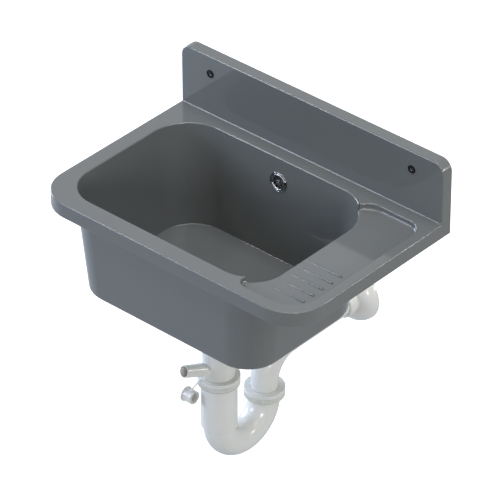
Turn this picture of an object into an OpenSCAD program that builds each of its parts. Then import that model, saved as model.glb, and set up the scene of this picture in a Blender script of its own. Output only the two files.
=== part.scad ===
// Wall-hung utility sink with a drainer shelf, an overflow and a tubular trap.
// Sizes are in millimetres. X runs to the right, -Y towards the user and +Z up.
// The origin lies on the wall face, mid-width, level with the top of the rim.

/* [Basin] */
// Overall width of the sink
sink_w = 500; // [460:5:560]
// Depth from the wall to the front of the rim
sink_d = 337; // [325:1:370]
// Height of the splashback above the rim
splash_h = 100; // [85:1:130]
// Thickness of the splashback
splash_t = 19.3; // [17:0.1:22]
// Height of the apron that hangs from the rim
apron_h = 24.2; // [20:0.1:28]
// Wall thickness of the moulding
wall = 4; // [3.5:0.1:4.4]
// Depth of the bowl below the rim
bowl_depth = 170; // [150:1:185]
// Width of the rim left of the bowl
rim_left = 26.7; // [24:0.1:34]
// Width of the rim in front of the bowl
rim_front = 30; // [26:0.5:36]
// Width of the ledge between the bowl and the splashback
rim_rear = 22.7; // [21:0.1:28]
// Width of the drainer side, right of the bowl
shelf_w = 100; // [92:1:115]
// Radius of the front corners of the rim
rim_corner_r = 58; // [45:1:65]
// Radius of the top corners of the splashback
splash_corner_r = 18; // [12:1:26]
// Radius of the front corners of the bowl
bowl_front_r = 56; // [46:1:64]
// Radius of the rear corners of the bowl
bowl_rear_r = 66; // [54:1:74]
// Radius between the walls and the floor of the bowl
floor_r = 5; // [3:0.5:8]
// Lean of the bowl's left and right walls, as run over depth
side_lean_share = 0.1; // [0.06:0.01:0.12]
// Lean of the bowl's front and rear walls, as run over depth
front_lean_share = 0.06; // [0.04:0.01:0.08]
// Thickness of the stiffening ribs under the moulding
web_t = 3; // [2:0.1:4]

/* [Drainer shelf] */
// Depth of the shelf below the rim
tray_depth = 10; // [8:0.5:12]
// Rim left standing on the right of the shelf
tray_right = 17.1; // [14:0.1:22]
// Rim left standing in front of the shelf
tray_front = 19.5; // [16:0.1:24]
// Ledge between the shelf and the splashback
tray_rear = 20.9; // [18:0.1:26]
// How far the shelf's outline runs into the bowl
tray_overlap = 26.7; // [20:0.1:32]
// Length of each drainer rib
rib_l = 64; // [50:1:70]
// Width of each drainer rib
rib_w = 2.6; // [2:0.1:4]
// Height of each drainer rib at its right end
rib_h = 2.2; // [1.5:0.1:3]
// Distance from one drainer rib to the next
rib_pitch = 20; // [15:0.5:22]

/* [Wall fixings] */
// Distance between the two fixing holes
fixing_span = 384.6; // [340:0.1:400]
// Height of the fixing holes above the rim
fixing_z = 70.2; // [55:0.1:75]
// Diameter of the screw's bore through each sleeve
screw_bore_d = 5.4; // [4.4:0.1:6]
// Outer diameter of each steel sleeve
sleeve_d = 7; // [6.8:0.1:7.6]
// Diameter of the hole in the moulding for each grommet
grommet_hole_d = 11; // [10.4:0.1:12]
// Diameter of each grommet's head
grommet_head_d = 13; // [12.6:0.1:15]

/* [Overflow] */
// Depth of the overflow's centre below the rim
overflow_depth = 40.2; // [36:0.1:46]
// Diameter of the overflow rosette
rosette_d = 32; // [30:0.5:36]
// Diameter of the overflow hole
overflow_hole_d = 24; // [22:0.5:25]
// Outer radius of the hose over its ribs
hose_r = 12.5; // [11.8:0.1:13]
// Radius of the hose between its ribs
hose_root_r = 10.6; // [10.2:0.1:11]
// Radius of the hose's bore
hose_bore_r = 8.2; // [7.4:0.1:8.6]
// Distance from one rib of the hose to the next
hose_pitch = 5; // [4.5:0.1:7]
// Radius of the hose's bend
hose_bend_r = 45; // [40:1:48]

/* [Waste] */
// Diameter of the waste hole in the floor
waste_hole_d = 52; // [51:0.5:54]
// Diameter of the steel waste flange
flange_d = 70; // [66:0.5:74]
// Depth of the strainer cup
cup_depth = 16; // [14:0.5:18]
// Depth below the bowl's floor at which the overflow enters the waste
inlet_drop = 30; // [28:0.5:34]
// Radius of the waste body
waste_r = 25; // [24.6:0.1:26]
// Radius of the main thread on the waste body
waste_thread_r = 23.9; // [23:0.1:24.2]

/* [Trap] */
// Radius of the wide tail tube that carries the appliance spigot
tail_r = 24.8; // [23.5:0.1:26]
// Radius of the tube that the tail pushes into the trap
insert_r = 20; // [19:0.1:20.2]
// Wall of the plastic tubes
tube_wall = 2.4; // [1.8:0.1:2.8]
// Height of the inlet nut's top, measured down from the bowl's floor
inlet_nut_drop = 144; // [130:1:160]
// Height of every trap nut
nut_h = 15.3; // [14.5:0.1:20]
// Radius of the nuts over their grip ribs
nut_r = 32.2; // [31.6:0.1:35]
// Radius of the sleeve on the trap's inlet leg
sleeve_r = 27.7; // [26:0.1:28]
// Radius of the trap's bent tube
bend_tube_r = 24.3; // [24.2:0.1:25.6]
// Radius of the trap's bend, to the middle of the tube
bend_r = 51; // [48:0.5:56]
// Height of the inlet nut's top above the bend's centre
bend_leg = 93; // [80:1:116]
// Radius of the outlet pipe
pipe_r = 21.4; // [20.4:0.1:21.5]
// Straight length of the outlet pipe between its nut and its elbow
riser_l = 8.5; // [2:0.5:20]
// Radius of the outlet elbow, to the middle of the pipe
elbow_r = 50; // [42:1:52]
// Distance from the wall face to the back of the pipe's wall flange
wall_flange_y = 137; // [100:1:160]
// Radius of the wall flange
wall_flange_r = 46.3; // [40:0.1:55]
// Height of the wall flange's dome
dome_h = 22.5; // [16:0.5:28]

/* [Appliance spigot] */
// Length of the spigot from the tail's axis to its mouth
spigot_l = 67.9; // [62:0.1:76]
// Radius of the spigot at its root
spigot_r = 11.2; // [10.4:0.1:11.6]
// Radius of the spigot's mouth
spigot_mouth_r = 9.4; // [8.8:0.1:9.6]
// Radius of the spigot's bore
spigot_bore_r = 7.4; // [6:0.1:7.8]
// Angle that the spigot rises by
spigot_rise = 19.2; // [10:0.1:25]
// Angle that the spigot turns left from straight ahead
spigot_turn = 11.5; // [0:0.1:15]
// Length of the spigot's cap
cap_l = 18.5; // [16:0.5:22]

/* [Hidden] */
$fn = 96;

// Shared small sizes: an overrun for cuts, the running gap and the fillet of plastic edges
over = 1;
gap = 0.3;
soft_edge = 1.2;

// Colours
basin_grey = [0.41, 0.43, 0.46];
trap_white = [0.80, 0.82, 0.81];
rubber_black = [0.08, 0.08, 0.09];
seal_grey = [0.30, 0.31, 0.32];
chrome = [0.82, 0.83, 0.85];
steel = [0.66, 0.67, 0.69];

// The bowl's mouth in the rim and its centre, where the waste sits
bowl_x0 = -sink_w / 2 + rim_left;
bowl_x1 = sink_w / 2 - shelf_w;
bowl_y0 = -sink_d + rim_front;
bowl_y1 = -splash_t - rim_rear;
drain_x = (bowl_x0 + bowl_x1) / 2;
drain_forward = 3.4;
drain_y = (bowl_y0 + bowl_y1) / 2 - drain_forward;
corner_draw_share = 0.045;
outer_edge_r = 2.5;

// The shelf's outline
tray_x0 = bowl_x1 - tray_overlap;
tray_x1 = sink_w / 2 - tray_right;
tray_y0 = -sink_d + tray_front;
tray_y1 = -splash_t - tray_rear;
tray_front_left_r = 16;
tray_front_right_r = 47;
tray_rear_right_r = 25;
tray_rear_left_r = 32;
rib_count = 5;
rib_first = 36.5;
rib_end = 15.4;

// Ribs inside the hollow splashback and under the shelf
splash_webs = 11;
shelf_webs = 6;
web_spread_share = 0.94;

// The floor's seat for the waste flange
seat_depth = 3;
seat_clear = 2;
seat_r = flange_d / 2 + seat_clear;
boss_r = seat_r + wall;
lip_t = 1.5;
floor_z = -bowl_depth;
seat_z = floor_z - seat_depth;
boss_z = seat_z - wall;
lip_z = seat_z + lip_t;
cup_wall = 1.2;
cup_clear = 1.5;
cup_r = waste_hole_d / 2 - cup_clear;
cup_z = floor_z - cup_depth;

// The waste body below the floor
lower_seal_t = 2;
clamp_t = 4;
clamp_r = 34;
waste_top = boss_z - lower_seal_t;
throat_r = cup_r + cup_wall + cup_clear / 2 + gap;
collar_wall = 3.4;
throat_z = cup_z - cup_wall - cup_clear;
waste_bore_r = waste_r - 2 * tube_wall;
hub_r = 5.5;
hub_h = 12;
hub_drop = 19;
inlet_z = floor_z - inlet_drop;
inlet_thread_r = 13;
inlet_thread_l = 14;
inlet_stem_l = 13;
thread_top = inlet_z - waste_r + over;
waste_thread_l = 18;
waste_end = thread_top - waste_thread_l;
m6_r = 3;

// The tail nut and what it clamps
washer_t = 3;
flat_t = 3;
tail_top = waste_end - washer_t;
tail_neck_r = insert_r + soft_edge;
tail_neck_l = 8;
nut_wall_z = tail_top - flat_t - gap;
tail_nut_top = thread_top - gap;
tail_nut_h = tail_nut_top - nut_wall_z + flat_t;
tail_shoulder = nut_wall_z - flat_t - tail_neck_l / 2;
tail_bore_r = insert_r - tube_wall;

// The trap: nut tops, mouths and seals
inlet_nut_top = -bowl_depth - inlet_nut_drop;
grip_count = 72;
thread_r = nut_r - 3.2;
outlet_thread_r = thread_r - 0.6;
seal_t = 5;
inlet_mouth = inlet_nut_top - flat_t - gap - seal_t;
inlet_thread_end = inlet_nut_top - nut_h + gap;
insert_l = 50;
insert_end = inlet_mouth - insert_l;
tail_foot = inlet_nut_top + gap;
trap_bore_r = insert_r + gap;
bend_z = inlet_nut_top - bend_leg;
outlet_y = drain_y + 2 * bend_r;
outlet_nut_top = bend_z + nut_h - gap;
outlet_mouth = outlet_nut_top - flat_t - gap - seal_t;
outlet_thread_end = bend_z;
outlet_insert = outlet_mouth - 10;
outlet_socket = outlet_insert - gap;
pipe_z = outlet_nut_top + riser_l + elbow_r;
pipe_stub = 12;
stub_step = 0.4;
elbow_start = pipe_z - elbow_r;
neck_l = 18;
neck_r = 25;

// The overflow on the leaning rear wall
overflow_z = -overflow_depth;
overflow_y = bowl_y1 + front_lean_share * overflow_z;
lean_angle = atan(front_lean_share);
overflow_seal_t = 2.5;
elbow_flange_t = 3;
elbow_body_r = 12;
elbow_body_l = 19;
nozzle_r = 8;
nozzle_bore_r = 6.2;
nozzle_l = 14;
cuff_r = 11.4;
cuff_l = 20;
hub_rosette_r = 4.6;
rosette_slots = 8;
pad_t = 1.5;

// The hose runs down behind the bowl, bends and meets the waste's inlet
hose_y = overflow_y + wall + overflow_seal_t + elbow_flange_t + elbow_body_l / 2;
hose_top = overflow_z - elbow_body_r - nozzle_l - 6;
inlet_end_y = drain_y + waste_r + inlet_stem_l + inlet_thread_l;
hose_nut_wall = 2.6;
cuff_collar_t = 2.4;
hose_end_y = inlet_end_y + cuff_l;
hose_nut_r = 17.2;
hose_nut_y0 = inlet_end_y - inlet_thread_l + 2;

// The cap: its disc, its cup, its strap and where the disc hangs
cap_disc_r = 12.3;
cap_disc_t = 2.4;
cap_r = 10.4;
cap_bore_r = spigot_mouth_r + gap;
strap_at = tail_r + 5;
strap_root_r = 1.5;
strap_end_r = 1.4;
strap_root_l = 4.4;
strap_r = 1.1;
strap_bow = [-2.5, -0.5, -6];
cap_reach = 34.8;
cap_ahead = 36;
cap_drop = 43;

// A flat outline with its own radius at each corner, counted from the low left one
module rounded(x0, x1, y0, y1, rs) {
    xs = [x0, x1, x1, x0];
    ys = [y0, y0, y1, y1];
    sx = [1, -1, -1, 1];
    sy = [1, 1, -1, -1];
    difference() {
        translate([x0, y0]) square([x1 - x0, y1 - y0]);
        for (i = [0:3]) if (rs[i] > 0) {
            translate([xs[i] + sx[i] * (rs[i] - over) / 2, ys[i] + sy[i] * (rs[i] - over) / 2])
                square(rs[i] + over, center = true);
        }
    }
    for (i = [0:3]) if (rs[i] > 0) {
        translate([xs[i] + sx[i] * rs[i], ys[i] + sy[i] * rs[i]]) circle(rs[i]);
    }
}

// One level of the bowl: four corner discs at a depth, pushed out by grow
module bowl_level(depth, grow) {
    x0 = bowl_x0 + side_lean_share * depth - grow;
    x1 = bowl_x1 - side_lean_share * depth + grow;
    y0 = bowl_y0 + front_lean_share * depth - grow;
    y1 = bowl_y1 - front_lean_share * depth + grow;
    draw = corner_draw_share * depth - grow;
    for (c = [[x0, y0, 1, 1, bowl_front_r], [x1, y0, -1, 1, bowl_front_r],
              [x1, y1, -1, -1, bowl_rear_r], [x0, y1, 1, -1, bowl_rear_r]]) {
        r = c[4] - draw;
        translate([c[0] + c[2] * r, c[1] + c[3] * r, -depth])
            cylinder(h = slice, r = r, $fn = 32);
    }
}
slice = 0.01;

// The inside of the bowl, up to an overrun above the rim
module bowl_space() {
    hull() {
        bowl_level(-over, 0);
        for (a = [0:30:90])
            bowl_level(bowl_depth - floor_r * (1 - sin(a)), -floor_r * (1 - cos(a)));
    }
}

// The outside of the bowl
module bowl_shell() {
    hull() {
        bowl_level(tray_depth, wall);
        for (a = [0:45:90])
            bowl_level(bowl_depth + wall - outer_edge_r * (1 - sin(a)),
                wall - outer_edge_r * (1 - cos(a)));
    }
    translate([0, 0, -tray_depth]) linear_extrude(tray_depth)
        rounded(bowl_x0 - wall, bowl_x1 + wall, bowl_y0 - wall, bowl_y1 + wall,
            [bowl_front_r + wall, bowl_front_r + wall, bowl_rear_r + wall, bowl_rear_r + wall]);
}

// The rim with its apron, hollow underneath
module rim() {
    a = sink_w / 2;
    difference() {
        translate([0, 0, -apron_h]) linear_extrude(apron_h)
            rounded(-a, a, -sink_d, 0, [rim_corner_r, rim_corner_r, 0, 0]);
        translate([0, 0, -apron_h - over]) linear_extrude(apron_h - wall + over)
            rounded(-a + wall, a - wall, -sink_d + wall, -wall,
                [rim_corner_r - wall, rim_corner_r - wall, 0, 0]);
    }
}

// The shelf's pan below the rim
module tray_pan() {
    translate([0, 0, -tray_depth - wall]) linear_extrude(tray_depth + wall)
        rounded(tray_x0, tray_x1 + wall, tray_y0 - wall, tray_y1 + wall,
            [tray_front_left_r, tray_front_right_r + wall, tray_rear_right_r + wall,
                tray_rear_left_r]);
}

// The shelf's hollow, cut from the rim
module tray_space() {
    translate([0, 0, -tray_depth]) linear_extrude(tray_depth + over)
        rounded(tray_x0, tray_x1, tray_y0, tray_y1,
            [tray_front_left_r, tray_front_right_r, tray_rear_right_r, tray_rear_left_r]);
}

// Raised ribs that fade out towards the bowl
module drainer_ribs() {
    x1 = tray_x1 - rib_end;
    for (i = [0:rib_count - 1]) {
        translate([x1 - rib_l, tray_y0 + rib_first + i * rib_pitch + rib_w / 2, -tray_depth])
            rotate([90, 0, 0]) linear_extrude(rib_w)
                polygon([[0, -wall / 2], [rib_l, -wall / 2], [rib_l, rib_h], [0, 0]]);
    }
}

// Webs under the shelf, from the bowl to the apron
module shelf_stiffeners() {
    x0 = bowl_x1 - side_lean_share * apron_h + wall / 2;
    span = (tray_y1 - tray_y0) * web_spread_share;
    y0 = (tray_y0 + tray_y1 - span) / 2;
    a = sink_w / 2 - wall / 2;
    intersection() {
        for (i = [0:shelf_webs - 1]) {
            translate([x0, y0 + i * span / (shelf_webs - 1) - web_t / 2, -apron_h + wall])
                cube([a - x0, web_t, apron_h - wall - tray_depth]);
        }
        translate([0, 0, -apron_h]) linear_extrude(apron_h)
            rounded(-a, a, -sink_d + wall / 2, 0, [rim_corner_r - wall / 2, rim_corner_r - wall / 2, 0, 0]);
    }
}

// The splashback: a front panel with a turned edge, open and ribbed at the back
module splashback() {
    a = sink_w / 2;
    difference() {
        rotate([90, 0, 0]) linear_extrude(splash_t)
            rounded(-a, a, -wall, splash_h, [0, 0, splash_corner_r, splash_corner_r]);
        translate([0, over, 0]) rotate([90, 0, 0]) linear_extrude(splash_t - wall + over)
            rounded(-a + wall, a - wall, 0, splash_h - wall,
                [0, 0, splash_corner_r - wall, splash_corner_r - wall]);
    }
    pitch = (sink_w - wall) / (splash_webs + 1);
    for (i = [1:splash_webs]) {
        translate([-a + wall / 2 + i * pitch - web_t / 2, -splash_t + wall / 2, -wall / 2])
            cube([web_t, splash_t - wall / 2, splash_h]);
    }
    for (s = [-1, 1]) {
        translate([s * fixing_span / 2, 0, fixing_z]) rotate([90, 0, 0])
            cylinder(h = splash_t - wall / 2, d = grommet_hole_d + 2 * wall);
    }
}

// Puts its children on the bowl's rear wall, with their +Z towards the user
module at_overflow() {
    translate([drain_x, overflow_y, overflow_z]) rotate([90 - lean_angle, 0, 0]) children();
}

// Puts its children on the waste's axis
module at_drain(z) {
    translate([drain_x, drain_y, z]) children();
}

module basin() {
    color(basin_grey) {
        difference() {
            union() {
                rim();
                splashback();
                difference() {
                    union() {
                        bowl_shell();
                        tray_pan();
                        shelf_stiffeners();
                    }
                    tray_space();
                }
                at_drain(boss_z) cylinder(h = wall + seat_depth, r = boss_r);
            }
            bowl_space();
            tray_space();
            at_drain(seat_z) cylinder(h = seat_depth + over, r = seat_r);
            at_drain(boss_z - over) cylinder(h = wall + 2 * over, d = waste_hole_d);
            at_overflow() translate([0, 0, -wall - over])
                cylinder(h = wall + 2 * over, d = overflow_hole_d);
            for (s = [-1, 1]) {
                translate([s * fixing_span / 2, over, fixing_z]) rotate([90, 0, 0])
                    cylinder(h = splash_t + 2 * over, d = grommet_hole_d);
            }
        }
        drainer_ribs();
    }
}

// A ring or tube on the Z axis
module tube(h, outer, inner) {
    difference() {
        cylinder(h = h, r = outer);
        translate([0, 0, -over]) cylinder(h = h + 2 * over, r = inner);
    }
}

// Rubber grommets that line the two fixing holes
module fixing_grommets() {
    head_t = 1.2;
    bore_r = sleeve_d / 2 + gap / 2;
    color(rubber_black) for (s = [-1, 1]) {
        translate([s * fixing_span / 2, 0, fixing_z]) rotate([90, 0, 0]) {
            tube(splash_t, grommet_hole_d / 2, bore_r);
            translate([0, 0, splash_t]) tube(head_t, grommet_head_d / 2, bore_r);
        }
    }
}

// Steel sleeves that take the load of the wall screws
module fixing_sleeves() {
    color(steel) for (s = [-1, 1]) {
        translate([s * fixing_span / 2, 0, fixing_z]) rotate([90, 0, 0])
            tube(splash_t, sleeve_d / 2, screw_bore_d / 2);
    }
}

// A stepped ring with a slotted plate and a hub for the screw
module overflow_rosette() {
    r = rosette_d / 2;
    rim_t = 2.2;
    plate_t = 1.4;
    inner_r = overflow_hole_d / 2 - gap;
    slot_r = inner_r - 2.4;
    bar_t = 1.5;
    color(chrome) at_overflow() {
        difference() {
            rotate_extrude() polygon([[inner_r - 1.2, 0], [r, 0], [r, rim_t / 2], [r - 1, rim_t * 0.8],
                [r - 2.2, rim_t], [inner_r, rim_t], [inner_r - 1.2, rim_t / 2]]);
        }
        difference() {
            translate([0, 0, -plate_t]) cylinder(h = 2 * plate_t, r = inner_r);
            translate([0, 0, plate_t / 2]) cylinder(h = plate_t, r = slot_r + 1.2);
            for (i = [0:rosette_slots - 1]) rotate([0, 0, (i + 0.5) * 360 / rosette_slots])
                translate([hub_rosette_r + 1, -slot_r * 0.2, -plate_t - over])
                    cube([slot_r - hub_rosette_r - 1, slot_r * 0.4, 2 * (plate_t + over)]);
            translate([0, 0, -plate_t - over]) cylinder(h = 2 * (plate_t + over), r = m6_r / 2 + gap);
        }
    }
}

// The screw that draws the rosette to the elbow
module overflow_screw() {
    head_r = 3.2;
    head_t = 1.6;
    slot_w = 0.8;
    shank_l = wall + overflow_seal_t + elbow_flange_t + 8;
    color(chrome) at_overflow() {
        difference() {
            translate([0, 0, 0.7]) cylinder(h = head_t, r1 = head_r, r2 = head_r - 0.6);
            translate([-head_r, -slot_w / 2, head_t]) cube([2 * head_r, slot_w, head_t]);
        }
        translate([0, 0, -shank_l]) cylinder(h = shank_l + 0.8, r = m6_r / 2);
    }
}

// A rubber ring between the bowl's rear wall and the elbow
module overflow_seal() {
    color(seal_grey) at_overflow() translate([0, 0, -wall - overflow_seal_t])
        tube(overflow_seal_t, rosette_d / 2, overflow_hole_d / 2);
}

// The fitting behind the bowl that turns the overflow down into its hose
module overflow_elbow() {
    back = -wall - overflow_seal_t;
    chamber_r = elbow_body_r - tube_wall;
    color(trap_white) difference() {
        union() {
            at_overflow() {
                translate([0, 0, back - elbow_flange_t]) cylinder(h = elbow_flange_t, r = rosette_d / 2);
                translate([0, 0, back - elbow_flange_t - elbow_body_l])
                    cylinder(h = elbow_body_l + over, r = elbow_body_r);
            }
            translate([drain_x, hose_y, overflow_z - elbow_body_r - nozzle_l])
                cylinder(h = nozzle_l + elbow_body_r, r = nozzle_r);
        }
        at_overflow() {
            difference() {
                translate([0, 0, back - elbow_flange_t - elbow_body_l + tube_wall])
                    cylinder(h = elbow_body_l + elbow_flange_t + over, r = chamber_r);
                translate([0, 0, back - elbow_flange_t - elbow_body_l])
                    cylinder(h = elbow_body_l, r = hub_rosette_r);
            }
            translate([0, 0, back - elbow_flange_t - 9]) cylinder(h = 12, r = m6_r / 2);
        }
        translate([drain_x, hose_y, overflow_z - elbow_body_r - nozzle_l - over])
            difference() {
                cylinder(h = nozzle_l + elbow_body_r / 2, r = nozzle_bore_r);
            }
    }
}

// The hose's route: down behind the bowl, round its bend and forward to the waste
hose_drop = hose_top - inlet_z - hose_bend_r;
hose_run = hose_y - hose_bend_r - hose_end_y;
hose_arc = hose_bend_r * PI / 2;
hose_len = hose_drop + hose_arc + hose_run;
hose_ribs = floor((hose_len - 2 * hose_pitch) / hose_pitch);
hose_sides = 8;

// A point at a length along the route, as [y, z, heading], where heading 0 is down
function hose_at(s) =
    s < hose_drop ? [hose_y, hose_top - s, 0] :
    s < hose_drop + hose_arc ?
        let (a = (s - hose_drop) / hose_bend_r * 180 / PI)
        [hose_y - hose_bend_r * (1 - cos(a)), inlet_z + hose_bend_r * (1 - sin(a)), a] :
    [hose_y - hose_bend_r - (s - hose_drop - hose_arc), inlet_z, 90];

// One ring of the hose's skin at a length along the route
function hose_ring(s, r) =
    let (p = hose_at(s))
    [for (i = [0:hose_sides - 1])
        let (a = (i + 0.5) * 360 / hose_sides, u = r * cos(a), v = r * sin(a))
        [drain_x + u, p[0] + v * cos(p[2]), p[1] + v * sin(p[2])]];

// Lengths and radii of the rings: a plain end, two rings a rib, and a plain end
hose_lead = (hose_len - hose_ribs * hose_pitch) / 2;
hose_rings = concat([[0, hose_root_r]],
    [for (i = [0:hose_ribs - 1]) for (k = [0, 1])
        [hose_lead + (i + 0.25 + k / 2) * hose_pitch, k == 0 ? hose_root_r : hose_r]],
    [[hose_len, hose_root_r]]);
hose_count = len(hose_rings);

// The ribbed overflow hose with its bore
module overflow_hose() {
    n = hose_sides;
    m = hose_count;
    outer = [for (q = hose_rings) each hose_ring(q[0], q[1])];
    inner = [for (q = hose_rings) each hose_ring(q[0], hose_bore_r)];
    skin = [for (j = [0:m - 2]) for (i = [0:n - 1]) for (t = [0, 1])
        let (a = j * n + i, b = j * n + (i + 1) % n, c = a + n, d = b + n)
        t == 0 ? [a, b, d] : [a, d, c]];
    k = n * m;
    bore = [for (f = skin) [k + f[2], k + f[1], k + f[0]]];
    last = (m - 1) * n;
    ends = [for (i = [0:n - 1]) for (t = [0, 1])
        let (p = i, q = (i + 1) % n)
        t == 0 ? [p, k + p, k + q] : [p, k + q, q]];
    tips = [for (i = [0:n - 1]) for (t = [0, 1])
        let (p = last + i, q = last + (i + 1) % n)
        t == 0 ? [p, k + q, k + p] : [p, q, k + q]];
    color(seal_grey) polyhedron(concat(outer, inner), concat(skin, bore, ends, tips));
}

// The moulded cuff that pushes onto the overflow elbow
module hose_upper_cuff() {
    color(rubber_black) translate([drain_x, hose_y, hose_top])
        tube(hose_nozzle_end - hose_top, cuff_r, nozzle_r);
}

// The moulded cuff that the union nut draws onto the waste's inlet
module hose_lower_cuff() {
    color(rubber_black) translate([drain_x, hose_end_y, inlet_z]) rotate([90, 0, 0]) {
        tube(cuff_l, cuff_r, nozzle_bore_r);
        translate([0, 0, cuff_l - cuff_collar_t])
            tube(cuff_collar_t, inlet_thread_r - gap, nozzle_bore_r);
    }
}
cuff_drop = 1;
hose_nozzle_end = overflow_z - rosette_d / 2 - cuff_drop;

// Grip ribs round a nut, laid on a plain ring
module grip(h, r, rib, count) {
    for (i = [0:count - 1]) rotate([0, 0, i * 360 / count])
        translate([r, 0, 0]) cylinder(h = h, r = rib, $fn = 16);
}

// A nut: a plain band over a ribbed one, with an end wall and its hole at the top
module ring_nut(h, r, thread, hole, count) {
    chamfer = 0.8;
    rib = 0.6;
    proud = 0.1;
    plain_share = 0.4;
    difference() {
        union() {
            cylinder(h = h - chamfer, r = r - rib);
            translate([0, 0, h * (1 - plain_share)]) cylinder(h = h * plain_share - chamfer, r = r);
            translate([0, 0, h - chamfer]) cylinder(h = chamfer, r1 = r, r2 = r - chamfer);
            translate([0, 0, chamfer]) grip(h * (1 - plain_share), r - rib - proud, rib, count);
        }
        translate([0, 0, -over]) cylinder(h = h - flat_t + over, r = thread + gap);
        translate([0, 0, -over]) cylinder(h = h + 2 * over, r = hole + gap);
    }
}

// The union nut that holds the hose's lower cuff to the waste
module hose_nut() {
    h = inlet_end_y + cuff_collar_t + gap + hose_nut_wall - hose_nut_y0;
    color(trap_white) translate([drain_x, hose_nut_y0, inlet_z]) rotate([-90, 0, 0])
        difference() {
            union() {
                cylinder(h = h, r = hose_nut_r - 0.8);
                translate([0, 0, over]) grip(h - 2 * over, hose_nut_r - 0.8, 0.7, 36);
            }
            translate([0, 0, -over]) cylinder(h = h - hose_nut_wall + over, r = inlet_thread_r + gap);
            translate([0, 0, -over]) cylinder(h = h + 2 * over, r = cuff_r + gap);
        }
}

// The steel flange with its strainer cup
module waste_strainer() {
    holes = 8;
    hole_r = 3.4;
    ring_r = cup_r * 0.58;
    color(steel) at_drain(0) difference() {
        union() {
            translate([0, 0, lip_z]) tube(lip_t, flange_d / 2, cup_r);
            translate([0, 0, cup_z - cup_wall]) cylinder(h = floor_z - cup_z + cup_wall, r = cup_r + cup_wall);
        }
        translate([0, 0, cup_z]) cylinder(h = cup_depth + over, r1 = cup_r - cup_wall, r2 = cup_r);
        for (i = [0:holes - 1]) rotate([0, 0, i * 360 / holes])
            translate([ring_r, 0, cup_z - cup_wall - over]) cylinder(h = cup_wall + 2 * over, r = hole_r);
        translate([0, 0, cup_z - cup_wall - over]) cylinder(h = cup_wall + 2 * over, r = m6_r + gap);
    }
}

// The screw that clamps the strainer to the waste body
module waste_screw() {
    head_r = 5.5;
    head_t = 2.2;
    l = hub_drop + hub_h - cup_depth + cup_wall;
    color(steel) at_drain(cup_z) {
        difference() {
            cylinder(h = head_t, r1 = head_r, r2 = head_r * 0.8);
            translate([-head_r, -cup_wall / 2, head_t / 2]) cube([2 * head_r, cup_wall, head_t]);
        }
        translate([0, 0, -cup_wall - l + head_t]) cylinder(h = cup_wall + l - head_t / 2, r = m6_r);
    }
}

module upper_seal() {
    color(seal_grey) at_drain(seat_z) tube(lip_t, flange_d / 2 - lip_t, waste_hole_d / 2);
}

module lower_seal() {
    color(seal_grey) at_drain(waste_top) tube(lower_seal_t, clamp_r, waste_hole_d / 2 + seat_clear);
}

// The waste body: clamp flange, throat, overflow inlet, screw hub and main thread
module waste_body() {
    spokes = 3;
    inlet_reach = inlet_end_y - drain_y;
    inlet_stem_r = inlet_thread_r - 2;
    color(trap_white) at_drain(0) {
        difference() {
            union() {
                translate([0, 0, waste_top - clamp_t]) cylinder(h = clamp_t, r = clamp_r);
                translate([0, 0, throat_z - collar_wall])
                    cylinder(h = waste_top - throat_z + collar_wall, r = throat_r + collar_wall);
                translate([0, 0, thread_top]) cylinder(h = waste_top - thread_top, r = waste_r);
                translate([0, 0, waste_end]) cylinder(h = waste_thread_l + over, r = waste_thread_r);
                translate([0, 0, inlet_z]) rotate([-90, 0, 0]) {
                    cylinder(h = inlet_reach, r = inlet_stem_r);
                    translate([0, 0, inlet_reach - inlet_thread_l])
                        cylinder(h = inlet_thread_l, r = inlet_thread_r);
                }
            }
            translate([0, 0, throat_z]) cylinder(h = waste_top - throat_z + over, r = throat_r);
            translate([0, 0, waste_end - over]) cylinder(h = waste_top - waste_end + over, r = waste_bore_r);
            translate([0, 0, inlet_z]) rotate([-90, 0, 0])
                cylinder(h = inlet_reach + over, r = nozzle_bore_r);
        }
        difference() {
            union() {
                translate([0, 0, floor_z - hub_drop - hub_h]) cylinder(h = hub_h, r = hub_r);
                for (i = [0:spokes - 1]) rotate([0, 0, 30 + i * 360 / spokes])
                    translate([0, -web_t / 2, floor_z - hub_drop - hub_h])
                        cube([waste_bore_r + tube_wall, web_t, hub_h / 2]);
            }
            translate([0, 0, floor_z - hub_drop - hub_h - over]) cylinder(h = hub_h + 2 * over, r = m6_r);
        }
    }
}

// The rubber plug that closes the strainer's cup
module sink_plug() {
    top_r = cup_r + 3;
    top_t = 3;
    depth = cup_depth - 6;
    knob_r = 5;
    knob_h = 9;
    color(rubber_black) at_drain(floor_z + gap) {
        translate([0, 0, -depth]) cylinder(h = depth, r1 = cup_r - cup_wall - gap, r2 = cup_r - gap - 0.2);
        cylinder(h = top_t, r1 = top_r, r2 = top_r - 1.5);
        translate([0, 0, top_t]) rotate_extrude()
            polygon([[0, 0], [knob_r + 2, 0], [knob_r - 1.5, 2.5], [knob_r - 1.5, knob_h - 4],
                [knob_r, knob_h - 2.5], [knob_r, knob_h - 1], [knob_r - 1, knob_h], [0, knob_h]]);
    }
}

// The nut, washer and tube below the waste body
module tail_nut() {
    color(trap_white) at_drain(tail_nut_top) rotate([180, 0, 0])
        ring_nut(tail_nut_h, nut_r, waste_thread_r, tail_neck_r, grip_count);
}

module tail_washer() {
    color(seal_grey) at_drain(tail_top) tube(washer_t, waste_thread_r - gap, tail_bore_r + over);
}

// Puts its children on the tail's axis with +Z along the spigot
module at_spigot() {
    at_drain(spigot_z) rotate([0, 0, -spigot_turn]) rotate([90 - spigot_rise, 0, 0]) children();
}
spigot_lift = 9.6;
spigot_z = inlet_nut_top + spigot_lift;

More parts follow.
